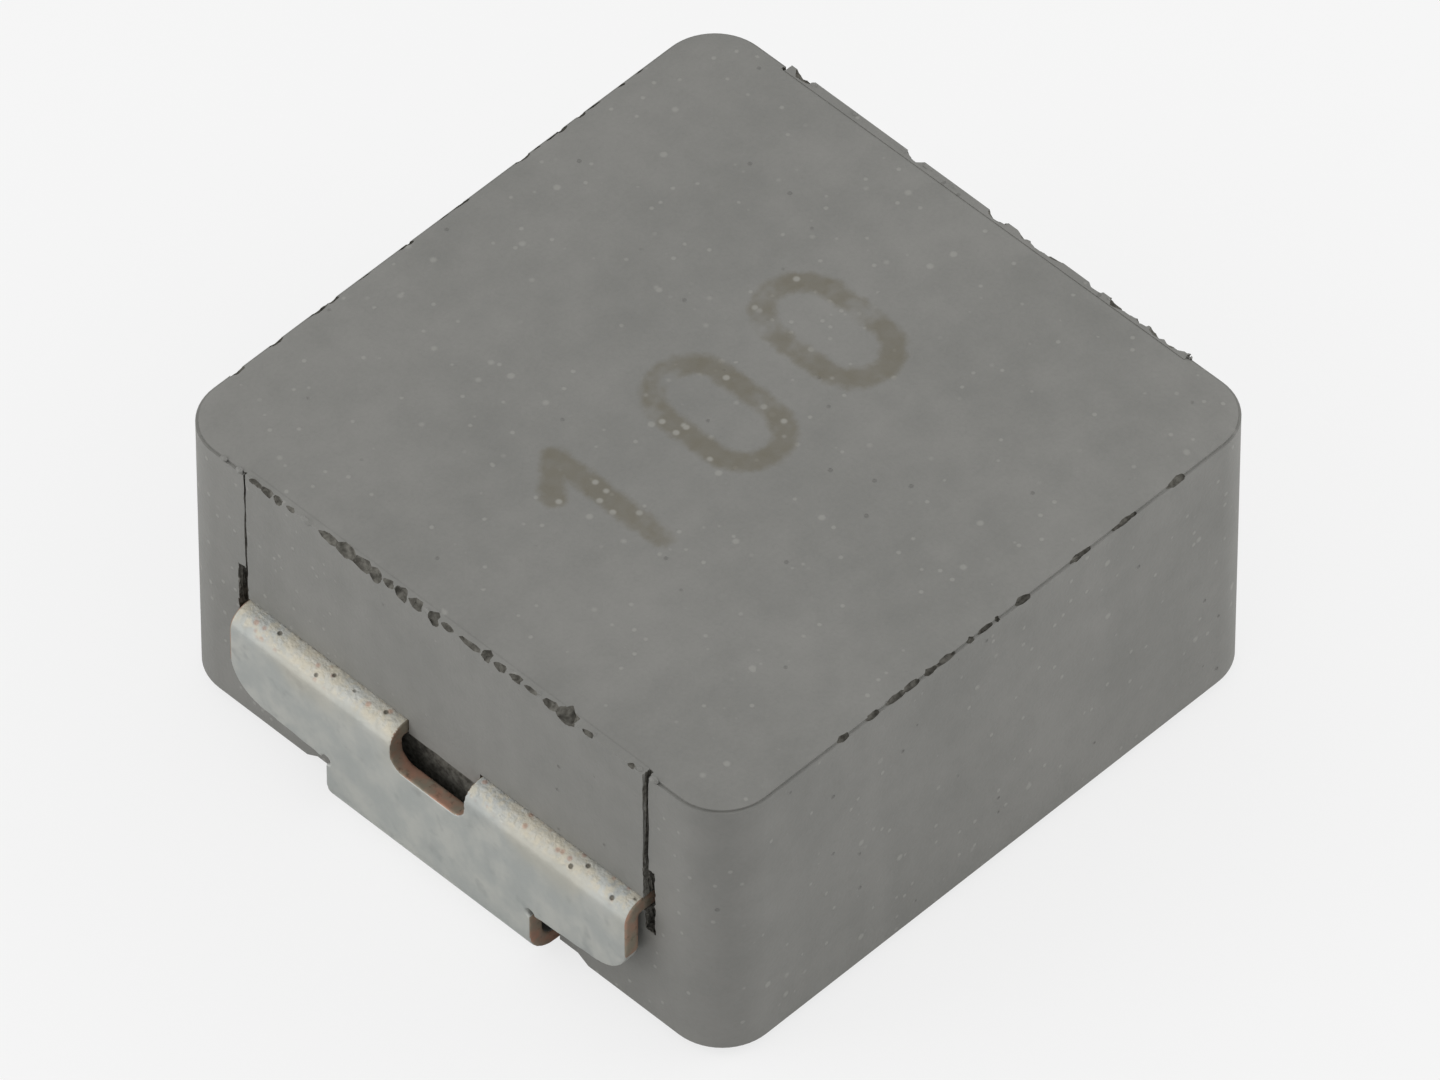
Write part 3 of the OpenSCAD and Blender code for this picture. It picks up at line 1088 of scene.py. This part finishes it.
        def sheared(middle: Vector, normal: Vector) -> bool:
            """Finds the faces that the shear has left."""
            tip = abs(middle.y) > half - 0.03
            notch = (abs(middle.y) < self.notch_w / 2 + 0.03 and middle.z > self.notch_floor - 0.03
                     and abs(normal.x) < 0.6 and abs(middle.x) > self.end_x)
            tab = abs(normal.y) > 0.7 and abs(abs(middle.y) - self.tab_w / 2) < 0.03 and middle.z < 1.1
            foot = middle.x * self.side < self.high.x - self.foot_l + 0.03 and middle.z < 0.4
            return tip or notch or tab or foot

        with sheet.faces(sheared):
            sheet.body.active_material_index = 1
            bpy.ops.object.material_slot_assign()

    def build(self) -> Workpiece:
        """Makes the terminal at its end and dresses it.

        Returns:
            The piece.
        """
        sheet = self.fold()
        self.trim(sheet)
        if self.side < 0:
            with sheet.faces():
                bpy.ops.transform.rotate(value=math.pi, orient_axis="Z", center_override=(0, 0, 0))
        name = "right" if self.side > 0 else "left"
        self.wear(sheet)
        self.dress(sheet)
        sheet.body.name = f"sheet_{name}"
        sheet.to_metres()
        sheet.smooth(50)
        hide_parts(f"terminal_{name}")
        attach(sheet.body, ROOT)
        sheet.report()
        return sheet


@dataclass
class Winding:
    """The sealed winding, which keeps its own solid."""

    weld_x: float = 5.0

    def build(self) -> None:
        """Enamels the winding."""
        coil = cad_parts["coil"]
        coil.data.materials.clear()
        coil.data.materials.append(RibbonEnamel(self.weld_x).make())
        LOG.info("coil: enamelled")


@dataclass
class Studio:
    """A plain pale floor, a light tent and a camera."""

    azimuth: float = -45.456
    elevation: float = 48.583
    distance: float = 346.8
    target_z: float = 3.1
    lens: float = 530.6
    shift: tuple[float, float] = (0.0011, -0.0031)
    tent: float = 0.8
    lamp_w: float = 0.012

    def floor(self) -> None:
        """Lays the floor."""
        leave_edit()
        bpy.ops.mesh.primitive_plane_add(size=400 * MM)
        floor = bpy.context.active_object
        floor.name = "studio_floor"
        recipe = Recipe("floor_paper")
        camera = recipe.node("ShaderNodeLightPath", {}, {})
        paper = recipe.node("ShaderNodeBsdfDiffuse", {}, {"Color": (0.8, 0.8, 0.8, 1)})
        white = recipe.node("ShaderNodeEmission", {}, {"Strength": 1.0})
        share = Amount(recipe, camera.outputs["Is Camera Ray"]) * 0.75
        blend = recipe.node("ShaderNodeMixShader", {}, {0: share, 1: paper.outputs[0], 2: white.outputs[0]})
        recipe.node("ShaderNodeOutputMaterial", {}, {0: blend.outputs[0]})
        floor.data.materials.append(recipe.material)

    def tent_light(self) -> None:
        """Lights everything evenly, with white where a camera or a gloss looks at the tent itself."""
        world = bpy.data.worlds.new("light_tent")
        bpy.context.scene.world = world
        world.use_nodes = True
        tree = world.node_tree
        tree.nodes.clear()
        path = tree.nodes.new("ShaderNodeLightPath")
        seen = tree.nodes.new("ShaderNodeMath")
        seen.operation = "MAXIMUM"
        tree.links.new(path.outputs["Is Camera Ray"], seen.inputs[0])
        tree.links.new(path.outputs["Is Transmission Ray"], seen.inputs[1])
        both = tree.nodes.new("ShaderNodeMath")
        both.operation = "MAXIMUM"
        tree.links.new(seen.outputs[0], both.inputs[0])
        tree.links.new(path.outputs["Is Glossy Ray"], both.inputs[1])
        level = tree.nodes.new("ShaderNodeMapRange")
        tree.links.new(both.outputs[0], level.inputs["Value"])
        level.inputs["To Min"].default_value = self.tent
        level.inputs["To Max"].default_value = 1.0
        backdrop = tree.nodes.new("ShaderNodeBackground")
        tree.links.new(level.outputs[0], backdrop.inputs["Strength"])
        out = tree.nodes.new("ShaderNodeOutputWorld")
        tree.links.new(backdrop.outputs[0], out.inputs[0])

    def lamp(self, name: str, place: Spot, size: float, watts: float) -> None:
        """Hangs a soft square lamp that faces the part.

        Args:
            name: Name of the lamp.
            place: Where it hangs.
            size: Its side.
            watts: Its power.
        """
        data = bpy.data.lights.new(name, "AREA")
        data.size, data.energy = size * MM, watts
        lamp = bpy.data.objects.new(name, data)
        lamp.location = Vector(place) * MM
        aim = Vector((0, 0, self.target_z)) - Vector(place)
        lamp.rotation_euler = aim.to_track_quat("-Z", "Y").to_euler()
        bpy.context.scene.collection.objects.link(lamp)

    def camera(self) -> None:
        """Sets up the camera."""
        data = bpy.data.cameras.new("camera")
        data.lens, data.sensor_width = self.lens, 36
        data.shift_x, data.shift_y = self.shift
        data.clip_start, data.clip_end = 10 * MM, 3000 * MM
        camera = bpy.data.objects.new("camera", data)
        turn, rise = math.radians(self.azimuth), math.radians(self.elevation)
        back = Vector((math.sin(turn) * math.cos(rise), -math.cos(turn) * math.cos(rise), math.sin(rise)))
        camera.location = (Vector((0, 0, self.target_z)) + back * self.distance) * MM
        camera.rotation_euler = (-back).to_track_quat("-Z", "Y").to_euler()
        bpy.context.scene.collection.objects.link(camera)
        bpy.context.scene.camera = camera

    def build(self) -> None:
        """Sets up floor, light and camera."""
        self.camera()
        self.floor()
        self.tent_light()
        self.lamp("left_lamp", (-45, 35, 30), 50, self.lamp_w)
        self.lamp("right_lamp", (45, -35, 30), 50, self.lamp_w)
        bpy.context.scene.view_settings.view_transform = "Standard"


def main() -> None:
    """Builds the part and the studio round it."""
    logging.basicConfig(level=logging.INFO, format="%(name)s: %(message)s", stream=sys.stdout)
    Studio().build()
    PressedCore().build()
    for side in (-1, 1):
        Terminal(side).build()
    Winding().build()


if __name__ == "__main__":
    main()
